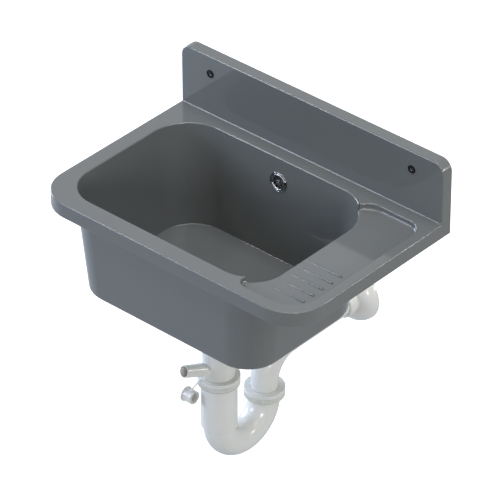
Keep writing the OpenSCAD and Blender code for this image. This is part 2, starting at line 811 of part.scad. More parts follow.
// The tail tube: collar, neck, wide body with the spigot, and the part inside the trap
module spigot_tube() {
    step_share = 0.58;
    step = spigot_l * step_share;
    bead = 0.15;
    hose_seat_l = 12;
    color(trap_white) difference() {
        union() {
            at_drain(0) {
                translate([0, 0, tail_top - flat_t]) cylinder(h = flat_t, r = waste_thread_r - gap);
                translate([0, 0, tail_shoulder]) cylinder(h = tail_top - tail_shoulder - over, r = tail_neck_r);
                rotate_extrude() polygon([[0, tail_foot], [tail_r - soft_edge, tail_foot],
                    [tail_r, tail_foot + soft_edge], [tail_r, tail_shoulder - 3 * soft_edge],
                    [tail_neck_r, tail_shoulder], [0, tail_shoulder]]);
                translate([0, 0, insert_end]) cylinder(h = tail_foot - insert_end + over, r = insert_r);
            }
            at_spigot() {
                cylinder(h = step, r1 = spigot_r, r2 = spigot_r - 4 * bead);
                cylinder(h = spigot_l - hose_seat_l, r1 = spigot_r - bead, r2 = spigot_mouth_r);
                cylinder(h = spigot_l, r = spigot_mouth_r);
            }
        }
        at_drain(insert_end - over) cylinder(h = tail_top - insert_end + 2 * over, r = tail_bore_r);
        at_spigot() translate([0, 0, tail_bore_r / 2]) cylinder(h = spigot_l, r = spigot_bore_r);
    }
}

// The cap hangs left of the spigot on its strap, its open end facing right
module spigot_cap() {
    disc = [drain_x - cap_reach, drain_y - cap_ahead, spigot_z - cap_drop];
    root = under_spigot(spigot_r + gap + strap_root_r);
    knee = root + strap_bow;
    tip = disc + [cap_l * 0.62, 0, cap_r + strap_r / 2];
    color(trap_white) {
        translate(disc) rotate([0, 90, 0]) difference() {
            union() {
                cylinder(h = cap_disc_t, r = cap_disc_r);
                cylinder(h = cap_l, r = cap_r);
            }
            translate([0, 0, cap_disc_t]) cylinder(h = cap_l, r = cap_bore_r);
        }
        translate(root) rotate([0, 90, 0]) cylinder(h = strap_root_l, r = strap_root_r, center = true);
        strap_part(root, knee);
        strap_part(knee, tip);
        translate(knee) sphere(strap_end_r);
        translate(tip) sphere(strap_end_r);
    }
}

// A point under the spigot, at a radius from its axis, where the strap is rooted
function under_spigot(r) =
    let (e = spigot_rise, y = -strap_at * cos(e) - r * sin(e), z = strap_at * sin(e) - r * cos(e))
    [drain_x + y * sin(spigot_turn), drain_y + y * cos(spigot_turn), spigot_z + z];

// A round length of strap from one point to another
module strap_part(p, q) {
    v = q - p;
    l = norm(v);
    translate(p) rotate([0, acos(v[2] / l), atan2(v[1], v[0])]) cylinder(h = l, r = strap_r);
}

// Nuts on the trap
module inlet_nut() {
    color(trap_white) at_drain(inlet_nut_top - nut_h) ring_nut(nut_h, nut_r, thread_r, insert_r, grip_count);
}

module outlet_nut() {
    color(trap_white) translate([drain_x, outlet_y, outlet_nut_top - nut_h])
        ring_nut(nut_h, nut_r - 0.4, outlet_thread_r, pipe_r, grip_count);
}

// Rubber rings that taper into the mouths of the trap
module ring_seal(outer, inner) {
    rotate_extrude() polygon([[inner, 0], [outer - seal_t / 2, 0], [outer, seal_t / 2],
        [outer, seal_t], [inner, seal_t]]);
}

module inlet_seal() {
    color(seal_grey) at_drain(inlet_mouth) ring_seal(thread_r - gap, trap_bore_r);
}

module outlet_seal() {
    color(seal_grey) translate([drain_x, outlet_y, outlet_mouth])
        ring_seal(outlet_thread_r - gap, pipe_r + gap);
}

// The trap: inlet sleeve, half-round bend and short outlet socket
module trap_bend() {
    mid_y = drain_y + bend_r;
    bend_bore = bend_tube_r - 1.6 * tube_wall;
    color(trap_white) difference() {
        union() {
            at_drain(inlet_thread_end) cylinder(h = inlet_mouth - inlet_thread_end, r = thread_r);
            at_drain(bend_z) cylinder(h = inlet_thread_end - bend_z, r = sleeve_r);
            translate([drain_x, mid_y, bend_z]) rotate([0, 90, 0]) rotate([0, 0, -90])
                rotate_extrude(angle = 180) translate([bend_r, 0]) circle(bend_tube_r);
            translate([drain_x, outlet_y, outlet_thread_end])
                cylinder(h = outlet_mouth - outlet_thread_end, r = outlet_thread_r);
        }
        at_drain(bend_z) cylinder(h = inlet_mouth - bend_z + over, r = trap_bore_r);
        translate([drain_x, mid_y, bend_z]) rotate([0, 90, 0]) rotate([0, 0, -90])
            rotate_extrude(angle = 180) translate([bend_r, 0]) circle(bend_bore);
        translate([drain_x, outlet_y, outlet_socket])
            cylinder(h = outlet_mouth - outlet_socket + over, r = pipe_r + gap);
    }
}

// The outlet: a riser, an elbow and the pipe that runs to the wall
module outlet_elbow() {
    y1 = wall_flange_y + pipe_stub;
    y0 = outlet_y + elbow_r;
    color(trap_white) difference() {
        union() {
            translate([drain_x, outlet_y, outlet_insert])
                cylinder(h = elbow_start - outlet_insert, r = pipe_r);
            elbow_turn(pipe_r);
            translate([drain_x, y0, pipe_z]) rotate([-90, 0, 0]) {
                cylinder(h = wall_flange_y - y0, r = pipe_r);
                cylinder(h = y1 - y0, r = pipe_r - stub_step);
            }
        }
        translate([drain_x, outlet_y, outlet_insert - over])
            cylinder(h = elbow_start - outlet_insert + over, r = pipe_r - tube_wall);
        elbow_turn(pipe_r - tube_wall);
        translate([drain_x, y0, pipe_z]) rotate([-90, 0, 0])
            cylinder(h = y1 - y0 + over, r = pipe_r - tube_wall);
    }
}

// A quarter turn from straight up to straight back
module elbow_turn(r) {
    translate([drain_x, outlet_y + elbow_r, elbow_start]) rotate([0, -90, 0]) rotate([0, 0, -90])
        rotate_extrude(angle = 90) translate([elbow_r, 0]) circle(r);
}

// The domed flange that slides on the pipe and covers the hole in the wall
module wall_flange() {
    skin = 2;
    steps = 12;
    arc = [for (i = [0:steps]) let (a = i * 90 / steps)
        [neck_r + (wall_flange_r - neck_r) * cos(a), dome_h * sin(a)]];
    back = [for (i = [steps:-1:0]) let (a = i * 90 / steps)
        [neck_r + (wall_flange_r - skin - neck_r) * cos(a), (dome_h - skin) * sin(a)]];
    color(trap_white) translate([drain_x, wall_flange_y, pipe_z]) rotate([90, 0, 0])
        rotate_extrude() polygon(concat(arc, [[neck_r, dome_h + neck_l], [pipe_r + gap, dome_h + neck_l],
            [pipe_r + gap, dome_h - 2 * skin], [neck_r, dome_h - 2 * skin]], back));
}

basin();
fixing_grommets();
fixing_sleeves();
overflow_rosette();
overflow_screw();
overflow_seal();
overflow_elbow();
hose_upper_cuff();
overflow_hose();
hose_lower_cuff();
hose_nut();
waste_strainer();
waste_screw();
upper_seal();
lower_seal();
waste_body();
sink_plug();
tail_nut();
tail_washer();
spigot_tube();
spigot_cap();
inlet_nut();
inlet_seal();
trap_bend();
outlet_nut();
outlet_seal();
outlet_elbow();
wall_flange();
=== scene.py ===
# %% [markdown]
# # A wall-hung utility sink with its trap
# The sink is a deep plastic bowl with a splashback at the wall, a drainer shelf on
# the right and a pale plastic trap underneath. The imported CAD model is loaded
# first as a fixed frame. It gives every size, so each new piece is built over the
# solid that it stands for, with the rounded edges and finishes that the CAD lacks.

# %% Load the frame and keep its box
import bpy, bmesh, math
from mathutils import Matrix, Vector


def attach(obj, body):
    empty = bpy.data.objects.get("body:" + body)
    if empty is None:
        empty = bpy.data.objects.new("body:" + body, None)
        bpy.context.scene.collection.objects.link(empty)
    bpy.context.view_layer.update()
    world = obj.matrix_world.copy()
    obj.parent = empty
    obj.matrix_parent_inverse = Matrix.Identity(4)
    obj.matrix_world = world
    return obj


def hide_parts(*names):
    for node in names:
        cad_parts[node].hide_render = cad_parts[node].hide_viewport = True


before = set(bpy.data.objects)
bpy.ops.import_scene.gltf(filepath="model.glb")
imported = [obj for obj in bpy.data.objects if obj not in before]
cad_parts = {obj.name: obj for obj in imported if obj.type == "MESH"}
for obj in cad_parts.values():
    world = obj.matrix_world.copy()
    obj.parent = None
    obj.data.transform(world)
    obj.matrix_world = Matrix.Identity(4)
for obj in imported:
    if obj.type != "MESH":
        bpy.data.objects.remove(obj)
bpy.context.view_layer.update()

# %% [markdown]
# ## Working in millimetres
# The drawings of such a sink are in millimetres and Blender works in metres. A
# short helper turns points from one to the other, so the numbers below read like
# those on a drawing.

# %% Units and small helpers
MM = 0.001


def mm(*values):
    """A point or a length in millimetres, as metres."""
    return Vector(values) * MM if len(values) > 1 else values[0] * MM


def verts_of(result):
    """The vertices among what an operator made."""
    return [g for g in result["geom"] if isinstance(g, bmesh.types.BMVert)]


# %% [markdown]
# ## From a bmesh to a finished piece
# Each piece is made in a bmesh, which is Blender's editable mesh in code. Its
# doubles are merged and its normals turned outwards before it becomes an object.
# A Weighted Normal modifier keeps the large flat faces flat in the shading, so
# that only the rounded edges catch the light.

# %% Turn a bmesh into an object
def to_object(name, bm, smooth=35):
    """A bmesh as an object at the origin, smooth except at sharp edges."""
    bmesh.ops.remove_doubles(bm, verts=bm.verts, dist=mm(0.002))
    bmesh.ops.recalc_face_normals(bm, faces=bm.faces)
    mesh = bpy.data.meshes.new(name)
    bm.to_mesh(mesh)
    bm.free()
    piece = bpy.data.objects.new(name, mesh)
    bpy.context.scene.collection.objects.link(piece)
    shade(piece, smooth)
    return piece


def shade(piece, smooth):
    """Smooth shading, with edges sharper than an angle left crisp."""
    piece.data.shade_smooth()
    piece.data.set_sharp_from_angle(angle=math.radians(smooth))


def finish_piece(piece, material, body, slot, *nodes):
    """Material, body and the CAD nodes that the piece stands for. The slot is not used."""
    piece.data.materials.clear()
    piece.data.materials.append(material)
    weighted = piece.modifiers.new("flat faces stay flat", "WEIGHTED_NORMAL")
    weighted.keep_sharp = True
    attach(piece, body)
    if nodes:
        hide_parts(*nodes)
    low, high = piece_box(piece)
    print(f"{piece.name}: {len(piece.data.polygons)} faces, from {low} to {high} mm")


def piece_box(piece):
    """Lowest and highest corner of a piece in millimetres."""
    points = [v.co for v in piece.data.vertices]
    low = [round(min(p[i] for p in points) / MM, 1) for i in range(3)]
    high = [round(max(p[i] for p in points) / MM, 1) for i in range(3)]
    return low, high


def merge(*parts):
    """Several bmeshes as one."""
    whole = bmesh.new()
    for part in parts:
        mesh = bpy.data.meshes.new("part")
        part.to_mesh(mesh)
        part.free()
        whole.from_mesh(mesh)
        bpy.data.meshes.remove(mesh)
    return whole


# %% [markdown]
# ## Materials
# Three plastics, two rubbers and two metals cover the whole sink. Each starts
# from the real stuff and how it was made. One function turns a colour as a
# painter would pick it into Blender's values, another adds a node with its
# settings and links.

# %% Colour and node helpers
def srgb(code):
    """An sRGB hex colour as the linear values that Blender's sockets take."""
    parts = [int(code[i:i + 2], 16) / 255 for i in (0, 2, 4)]
    linear = [p / 12.92 if p <= 0.04045 else ((p + 0.055) / 1.055) ** 2.4 for p in parts]
    return (*linear, 1.0)


def add(tree, kind, settings=(), links=()):
    """A node of a kind, with values on its sockets or itself and links into it."""
    node = tree.nodes.new(kind)
    for key, value in dict(settings).items():
        if isinstance(key, str) and hasattr(node, key):
            setattr(node, key, value)
        else:
            node.inputs[key].default_value = value
    for key, source in dict(links).items():
        tree.links.new(source, node.inputs[key])
    return node


def new_material(name, **sockets):
    """A material with a Principled surface, and its tree and shader."""
    material = bpy.data.materials.new(name)
    material.use_nodes = True
    shader = material.node_tree.nodes["Principled BSDF"]
    for key, value in sockets.items():
        shader.inputs[key.replace("_", " ")].default_value = value
    return material, material.node_tree, shader


# %% [markdown]
# ### What the skins have in common
# Most surfaces start from noise with a grain in millimetres. The noise moves the
# colour between two near tones, the roughness between two limits, or the skin up
# and down by a hair.

# %% Noise and what it drives
def noise(tree, grain, detail):
    """Noise with a grain of so many millimetres."""
    spot = add(tree, "ShaderNodeTexCoord").outputs["Object"]
    return add(tree, "ShaderNodeTexNoise", {"Scale": 1 / mm(grain), "Detail": detail},
               {"Vector": spot}).outputs["Fac"]


def tinted(tree, shader, pattern, dark, pale):
    """Lets a pattern choose between two sRGB colours."""
    mix = add(tree, "ShaderNodeMix", {"data_type": "RGBA", 6: srgb(dark), 7: srgb(pale)},
              {0: pattern})
    tree.links.new(mix.outputs[2], shader.inputs["Base Color"])


def polished(tree, shader, pattern, low, high):
    """Lets a pattern move the roughness between two values."""
    polish = add(tree, "ShaderNodeMapRange", {"To Min": low, "To Max": high}, {"Value": pattern})
    tree.links.new(polish.outputs["Result"], shader.inputs["Roughness"])


def embossed(tree, shader, pattern, strength, depth=0.1):
    """Lets a pattern raise the skin, by a depth in millimetres."""
    skin = add(tree, "ShaderNodeBump", {"Strength": strength, "Distance": mm(depth)},
               {"Height": pattern})
    tree.links.new(skin.outputs["Normal"], shader.inputs["Normal"])


# %% [markdown]
# ### Moulded polypropylene
# The basin is injection moulded in filled, dark grey polypropylene. Its skin
# copies a polished mould, so it mirrors the room clearly, and a fine grain takes
# only a little of the shine. Trap parts come in a pale grey. Some light enters
# it, which a little subsurface scattering gives, and it shows round, clear
# highlights.

# %% Dark and pale moulded plastic
def moulded(name, tones, cloud, grain, shine, relief, **sockets):
    """Polypropylene with a clouded colour and a fine grain in shine and relief."""
    material, tree, shader = new_material(name, IOR=1.49, **sockets)
    tinted(tree, shader, noise(tree, *cloud), *tones)
    fine = noise(tree, *grain)
    polished(tree, shader, fine, *shine)
    embossed(tree, shader, fine, relief)
    return material


basin_plastic = moulded("moulded_polypropylene_slate", ("676a6a", "6a6d6d"), cloud=(60, 3.0),
                        grain=(1.4, 2.0), shine=(0.07, 0.1), relief=0.004)
trap_plastic = moulded("moulded_polypropylene_pale", ("dcddd8", "e1e2dd"), cloud=(40, 2.0),
                       grain=(1.2, 2.0), shine=(0.14, 0.2), relief=0.01,
                       Subsurface_Weight=0.08, Subsurface_Scale=mm(4))
print("moulded:", basin_plastic.name, trap_plastic.name)

# %% [markdown]
# ### Rubber and hose plastic
# Bushes, plug and cuffs are cured black rubber, nearly matt with a dusty bloom.
# The seals are the same stuff in dark grey. The overflow hose is blown from a
# soft grey plastic, duller than the moulded parts, as its mould is sand-blasted.

# %% Rubbers and the hose
def rubber(name, dark, pale):
    """Cured rubber: matt, with a bloom in soft patches and a fine grain."""
    material, tree, shader = new_material(name, IOR=1.52, Roughness=0.6, Specular_IOR_Level=0.12)
    tinted(tree, shader, noise(tree, 9, 4.0), dark, pale)
    embossed(tree, shader, noise(tree, 0.6, 1.0), 0.15)
    return material


black_rubber = rubber("cured_rubber_black", "0c0c0d", "121213")
seal_rubber = rubber("cured_rubber_grey", "3a3c3e", "46484a")
hose_plastic, tree, shader = new_material("blown_polyethylene_grey", IOR=1.5, Roughness=0.45)
tinted(tree, shader, noise(tree, 12, 3.0), "5b5e61", "686b6e")
print("soft:", black_rubber.name, seal_rubber.name, hose_plastic.name)

# %% [markdown]
# ### Chrome plate and brushed steel
# The overflow rosette is chrome plated, a mirror gone a little dull in the wet.
# The waste's steel is brushed in circles, so its roughness changes in fine rings
# round the waste's own axis, which a Mapping node puts at the pattern's centre.

# %% Metals
chrome_plate, tree, shader = new_material(
    "chrome_plate", Base_Color=srgb("a6a9ad"), Metallic=1.0)
polished(tree, shader, noise(tree, 3, 3.0), 0.08, 0.16)

DRAIN = Vector((-36.65, -177.9, 0))


def brushed(name, centre):
    """Stainless steel brushed in rings round an upright axis."""
    material, tree, shader = new_material(name, Base_Color=srgb("b9bcc0"), Metallic=1.0)
    spot = add(tree, "ShaderNodeTexCoord").outputs["Object"]
    moved = add(tree, "ShaderNodeMapping", {"Location": -centre * MM}, {"Vector": spot})
    rings = add(tree, "ShaderNodeTexWave", {
        "wave_type": "RINGS", "rings_direction": "Z", "Scale": 1 / mm(2.5), "Distortion": 1.5,
        "Detail": 3.0}, {"Vector": moved.outputs["Vector"]}).outputs["Fac"]
    polished(tree, shader, rings, 0.12, 0.25)
    embossed(tree, shader, rings, 0.08, 0.05)
    return material


brushed_steel = brushed("brushed_stainless_steel", DRAIN)
print("metals:", chrome_plate.name, brushed_steel.name)

# %% [markdown]
# ## Outlines and lofts
# The basin is a set of rounded rectangles at several heights. A face with four
# corners gets its radii from the bevel operator, one corner at a time. Outlines
# that shrink a little on their way down, each bridged to the next, give walls
# that lean.

# %% A rounded rectangle and a stack of them
CORNER_STEPS = 14


def soften(bm, chosen, radius, segments, affect="EDGES"):
    """Rounds edges, or the corners of a face, by a radius in millimetres."""
    bmesh.ops.bevel(bm, geom=chosen, affect=affect, offset=mm(radius), segments=segments,
                    profile=0.5, material=-1)


def outline(bm, x, y, radii, z, steps=CORNER_STEPS):
    """A flat face at a height, in millimetres, with a radius for each corner."""
    corners = [(x[0], y[0]), (x[1], y[0]), (x[1], y[1]), (x[0], y[1])]
    verts = [bm.verts.new(mm(a, b, z)) for a, b in corners]
    bm.faces.new(verts)
    for vert, radius in zip(verts, radii):
        if radius:
            soften(bm, [vert], radius, steps, "VERTICES")


def stack(x, y, radii, levels, lean=(0, 0, 0), steps=CORNER_STEPS):
    """A closed body of one outline at several heights.

    Each level is its height and how far it stands beyond the outline. lean is how
    much the sides, the front and rear, and the radii draw in for each unit down."""
    bm = bmesh.new()
    below = []
    for index, (z, grow) in enumerate(levels):
        made = set(bm.faces)
        gx, gy, gr = (share * z + grow for share in lean)
        outline(bm, (x[0] - gx, x[1] + gx), (y[0] - gy, y[1] + gy),
                [r and r + gr for r in radii], z, steps)
        face = next(f for f in bm.faces if f not in made)
        loop = list(face.edges)
        if 0 < index < len(levels) - 1:
            bmesh.ops.delete(bm, geom=[face], context="FACES_ONLY")
        if below:
            bmesh.ops.bridge_loops(bm, edges=below + loop)
        below = loop
    return bm


def block(x, y, z, radii=(0, 0, 0, 0), steps=CORNER_STEPS):
    """A prism over a rounded rectangle."""
    return stack(x, y, radii, [(z[0], 0), (z[1], 0)], steps=steps)


def push(bm, way):
    """Extrudes all the faces of a bmesh, by a vector in metres."""
    pushed = bmesh.ops.extrude_face_region(bm, geom=list(bm.faces))
    bmesh.ops.translate(bm, verts=verts_of(pushed), vec=way)


# %% [markdown]
# ## Adding and cutting
# A moulding like this is easiest to think of as solids that are joined and cut.
# The exact Boolean solver does that on closed meshes. The result is taken from
# the evaluated object and the tool is thrown away, so no modifier stays behind.

# %% Boolean helpers
def combine(piece, tool, operation):
    """Joins a closed bmesh to a piece, or cuts it away."""
    other = to_object("tool", tool)
    step = piece.modifiers.new("combine", "BOOLEAN")
    step.operation, step.solver, step.object = operation, "EXACT", other
    graph = bpy.context.evaluated_depsgraph_get()
    mesh = bpy.data.meshes.new_from_object(piece.evaluated_get(graph))
    piece.modifiers.clear()
    old, piece.data = piece.data, mesh
    bpy.data.meshes.remove(old)
    bpy.data.objects.remove(other)
    tidy = bmesh.new()
    tidy.from_mesh(mesh)
    bmesh.ops.remove_doubles(tidy, verts=tidy.verts, dist=mm(0.004))
    bmesh.ops.dissolve_degenerate(tidy, edges=tidy.edges, dist=mm(0.004))
    tidy.to_mesh(mesh)
    tidy.free()


def open_edges(piece):
    """How many edges of a piece don't have exactly two faces."""
    bm = bmesh.new()
    bm.from_mesh(piece.data)
    count = sum(len(e.link_faces) != 2 for e in bm.edges)
    bm.free()
    return count


def join(piece, tool):
    """Adds a closed bmesh to a piece."""
    combine(piece, tool, "UNION")


def cut(piece, tool):
    """Takes a closed bmesh away from a piece."""
    combine(piece, tool, "DIFFERENCE")


def rod(start, end, radius, sides=48):
    """A closed round bar between two points, in millimetres."""
    start, end = Vector(start), Vector(end)
    bm = bmesh.new()
    bmesh.ops.create_cone(bm, cap_ends=True, segments=sides, radius1=mm(radius),
                          radius2=mm(radius), depth=mm((end - start).length))
    turn = (end - start).to_track_quat("Z", "Y").to_matrix().to_4x4()
    middle = Matrix.Translation((start + end) / 2 * MM)
    bmesh.ops.transform(bm, matrix=middle @ turn, verts=bm.verts)
    return bm


# %% [markdown]
# ## The basin
# The real basin is one moulding with walls of about 4 mm. It is built in the
# order of its forms: the rim with its apron, the splashback, the bowl, the shelf
# and the webs behind them. The outer edges are rounded before the parts are
# joined. The inner edges are rounded by flaring the cutters, because a cutter
# that widens in a quarter circle leaves a rounded lip.

# %% Sizes of the basin
WIDTH, DEPTH, WALL = 500.0, 337.0, 4.0
half = WIDTH / 2
SPLASH_H, SPLASH_T, APRON = 100.0, 19.3, 24.2
RIM_R, SPLASH_R = 58, 18
BOWL_X, BOWL_Y = (-223.3, 150.0), (-307.0, -42.0)
BOWL_R = (56, 56, 66, 66)
BOWL_DEPTH, LEAN, UPRIGHT = 170.0, (0.10, 0.06, 0.045), (0, 0, 0)
TRAY_X, TRAY_Y, TRAY_DEPTH = (123.3, 232.9), (-317.5, -40.2), 10.0
TRAY_R = (16, 47, 25, 32)
LIP = 1.8
FIXINGS, FIXING_Z, FIXING_R, BOSS_R = (-192.3, 192.3), 70.2, 5.5, 9.5
SEAT_Z, SEAT_R, WASTE_R, PAD_R = -173.0, 37, 26, 41


def flare(z, radius, steps=4):
    """Levels of a cutter that round the lip below a height with a quarter circle."""
    turns = [i * math.pi / 2 / steps for i in range(steps + 1)]
    return [(z - radius + radius * math.sin(a), radius * (1 - math.cos(a))) for a in turns]


def foot(floor, radius, grow=0.0, steps=6):
    """Levels of a body that round the edge of its floor, from the floor up."""
    turns = [i * math.pi / 2 / steps for i in range(steps + 1)]
    return [(floor + radius * (1 - math.cos(a)), grow - radius * (1 - math.sin(a)))
            for a in turns]


def point(axis, z):
    """Where an upright axis is at a height, in millimetres."""
    return Vector((axis.x, axis.y, z))


# %% [markdown]
# The rim is a slab with an apron, hollow from below. Its upper and lower edges
# are rounded all the way round, but not at the wall.

# %% The rim with its rounded edge and its hollow underside
rim = block((-half, half), (-DEPTH, 0), (-APRON, 0), (RIM_R, RIM_R, 0, 0), 20)
edges = [e for e in rim.edges if len(e.link_faces) == 2 and
         abs(e.link_faces[0].normal.z) + abs(e.link_faces[1].normal.z) > 0.9 and
         min(v.co.y for v in e.verts) < mm(-1)]
bmesh.ops.recalc_face_normals(rim, faces=rim.faces)
soften(rim, edges, 1.6, 4)
basin = to_object("basin_moulding", rim)
cut(basin, block((-half + WALL, half - WALL), (-DEPTH + WALL, -WALL), (-40, -WALL),
                 (RIM_R - WALL, RIM_R - WALL, 0, 0), 20))
print("rim:", piece_box(basin))

# %% [markdown]
# The splashback is drawn flat, as an outline with two round corners, and turned
# upright. Its front edge is rounded, and a smaller outline hollows it from behind.

# %% The splashback with a turned edge
panel = bmesh.new()
outline(panel, (-half, half), (-WALL, SPLASH_H), (0, 0, SPLASH_R, SPLASH_R), 0, 16)
push(panel, mm(0, 0, SPLASH_T))
bmesh.ops.recalc_face_normals(panel, faces=panel.faces)
front = [e for e in panel.edges if all(v.co.z > mm(SPLASH_T - 0.1) for v in e.verts)
         and max(v.co.y for v in e.verts) > mm(1)]
soften(panel, front, 2.2, 5)
upright = Matrix.Rotation(math.pi / 2, 4, "X")
bmesh.ops.transform(panel, matrix=upright, verts=panel.verts)
join(basin, panel)

hollow = bmesh.new()
outline(hollow, (-half + WALL, half - WALL), (0, SPLASH_H - WALL),
        (0, 0, SPLASH_R - WALL, SPLASH_R - WALL), -1, 16)
push(hollow, mm(0, 0, SPLASH_T - WALL + 1))
bmesh.ops.transform(hollow, matrix=upright, verts=hollow.verts)
cut(basin, hollow)
print("with the splashback:", piece_box(basin))

# %% [markdown]
# A small cove fills the corner where the splashback's face meets the rim. In the
# photo it's a thin bright line. It is sunk by a hair into both faces, so that the
# solids overlap where they join.

# %% The cove at the splashback's foot
COVE_R, SUNK = 2.0, 0.05
foot_y = -SPLASH_T - COVE_R + SUNK
corner = [(-SPLASH_T + 0.5, -0.5), (-SPLASH_T + 0.5, COVE_R)]
for k in range(7):
    a = math.pi / 2 * k / 6
    corner.append((foot_y + COVE_R * math.cos(a), COVE_R - SUNK - COVE_R * math.sin(a)))
corner.append((foot_y, -0.5))
cove = bmesh.new()
cove.faces.new([cove.verts.new(mm(-half + 2, y, z)) for y, z in corner])
push(cove, mm(WIDTH - 4, 0, 0))
bmesh.ops.recalc_face_normals(cove, faces=cove.faces)
join(basin, cove)
print("cove of", COVE_R, "mm,", len(basin.data.polygons), "faces so far")

# %% [markdown]
# The webs behind the splashback and the two bosses round the fixing holes keep
# the hollow panel stiff. They are seen only from behind, as thin moulded ribs.

# %% Webs and bosses behind the splashback
def bars(boxes):
    """Several boxes in one bmesh, each as low and high corners in millimetres."""
    bm = bmesh.new()
    for low, high in boxes:
        size = [b - a for a, b in zip(low, high)]
        spot = [(a + b) / 2 for a, b in zip(low, high)]
        placed = Matrix.Translation(mm(*spot)) @ Matrix.Diagonal(mm(*size).to_4d())
        bmesh.ops.create_cube(bm, size=1.0, matrix=placed)
    return bm


WEB_HALF, WEB_GAPS = 1.5, 12
pitch = (WIDTH - WALL) / WEB_GAPS
webs = [-half + WALL / 2 + i * pitch for i in range(1, WEB_GAPS)]
join(basin, bars([((x - WEB_HALF, -SPLASH_T + 2, -2), (x + WEB_HALF, -0.05, SPLASH_H - 2))
                  for x in webs]))
for x in FIXINGS:
    join(basin, rod((x, -0.1, FIXING_Z), (x, -SPLASH_T + 2, FIXING_Z), BOSS_R))
print("webs at", [round(x, 1) for x in webs])

# %% [markdown]
# The bowl hangs below the rim as a leaning tub. Its outside follows its inside
# at 4 mm. The tray is a shallow pan beside it, with webs under the shelf, and a
# thicker round pad carries the waste.

# %% The bowl's outside, the tray's pan and the shelf's webs
def walls(x, y, radii, floor, lean, floor_r, grow):
    """A leaning tub from under the rim down to a rounded floor edge."""
    return stack(x, y, radii, [(-2, grow)] + foot(floor, floor_r, grow)[::-1], lean)


join(basin, walls(BOWL_X, BOWL_Y, BOWL_R, -BOWL_DEPTH - WALL, LEAN, 7, WALL))
join(basin, walls(TRAY_X, TRAY_Y, TRAY_R, -TRAY_DEPTH - WALL, UPRIGHT, 2.5, WALL - 0.4))
stiff = [-311 + i * 277 / 5 for i in range(1, 6)]
join(basin, bars([((160, y - WEB_HALF, -APRON + 4), (half - 2, y + WEB_HALF, -TRAY_DEPTH - 1))
                  for y in stiff]))
join(basin, rod(point(DRAIN, SEAT_Z - 4), point(DRAIN, SEAT_Z + 2), PAD_R, 72))
print("with the bowl's outside:", piece_box(basin))

# %% [markdown]
# The inside is cut last, so that the wall keeps its thickness everywhere. The
# bowl's cutter widens in a quarter circle just below the rim, which leaves the
# soft lip that catches the light in the photo. The same is done where the shelf's
# floor meets the bowl, with the bowl's cutter kept inside the tray.

# %% Cut the bowl and the tray
def mouth(x, y, radii, top, floor, lean, floor_r, lip):
    """A cutter for a leaning space with a rounded floor edge and a flared lip."""
    levels = foot(floor, floor_r) + flare(top + 0.03, lip) + [(8.0, lip)]
    return stack(x, y, radii, levels, lean)


cut(basin, mouth(BOWL_X, BOWL_Y, BOWL_R, 0, -BOWL_DEPTH, LEAN, 1.2, LIP))
cut(basin, mouth(TRAY_X, TRAY_Y, TRAY_R, 0, -TRAY_DEPTH, UPRIGHT, 3, LIP))
lip = to_object("shelf_lip", mouth(BOWL_X, BOWL_Y, BOWL_R, -TRAY_DEPTH, -60, LEAN, 1, 2.4))
inside_tray = block((TRAY_X[0] + 3, TRAY_X[1]), (TRAY_Y[0] + 1, TRAY_Y[1] - 1), (-40, 4))
combine(lip, inside_tray, "INTERSECT")
tool = bmesh.new()
tool.from_mesh(lip.data)
bpy.data.objects.remove(lip)
cut(basin, tool)
print("after cutting:", len(basin.data.polygons), "faces,", open_edges(basin), "open edges")

# %% [markdown]
# Then come the seat of the waste, the overflow hole and the two fixing holes. The
# overflow's axis leans with the rear wall.

# %% Holes
cut(basin, rod(point(DRAIN, SEAT_Z), point(DRAIN, -160), SEAT_R, 96))
cut(basin, rod(point(DRAIN, -190), point(DRAIN, -160), WASTE_R, 72))
lean_angle = math.atan(LEAN[1])
OVERFLOW, OVERFLOW_R = Vector((DRAIN.x, -44.4, -40.2)), 12
OVERFLOW_OUT = Vector((0, -math.cos(lean_angle), math.sin(lean_angle)))
cut(basin, rod(OVERFLOW - OVERFLOW_OUT * 6, OVERFLOW + OVERFLOW_OUT * 6, OVERFLOW_R, 64))
for x in FIXINGS:
    cut(basin, rod((x, 4, FIXING_Z), (x, -SPLASH_T - 4, FIXING_Z), FIXING_R))
print("holes cut,", len(basin.data.polygons), "faces")

# %% [markdown]
# Five short ribs on the shelf let a bucket drain. Each rises from a third of a
# millimetre at the bowl's side to 2.2 mm at the right, so water runs to the bowl.
# Its top edges and its high end are rounded.

# %% Drainer ribs
RIB_ROWS, RIB_X, RIB_HALF = (-281, -261, -241, -221, -201), (153.5, 217.5), 1.6
RIB_START, RIB_TOP, RIB_ROUND = 0.35, 2.2, 1.3


def drainer_rib(y):
    """One rib on the tray's floor, low at the bowl's side."""
    bar = bars([((RIB_X[0], y - RIB_HALF, -TRAY_DEPTH - 1),
                 (RIB_X[1], y + RIB_HALF, RIB_TOP - TRAY_DEPTH))])
    for v in bar.verts:
        if v.co.z > mm(-TRAY_DEPTH) and v.co.x < mm(RIB_X[0] + 1):
            v.co.z = mm(RIB_START - TRAY_DEPTH)
    top = [e for e in bar.edges if all(v.co.z > mm(-TRAY_DEPTH) for v in e.verts)]
    soften(bar, [e for e in top if any(v.co.x > mm(RIB_X[1] - 1) for v in e.verts)],
           RIB_ROUND, 4)
    return bar


join(basin, merge(*[drainer_rib(y) for y in RIB_ROWS]))
shade(basin, 32)
print("basin:", open_edges(basin), "open edges")
finish_piece(basin, basin_plastic, "sink", "basin_plastic", "basin")

# %% [markdown]
# ## Turned pieces
# Nuts, pipes, bushes and the flange are round, so a profile is drawn as radius
# and height and spun round its axis. Chosen corners of the profile are rounded by
# the bevel operator before the spin.

# %% Lathe
ORIGIN, TOP = (0, 0, 0), (0, 0, 1)


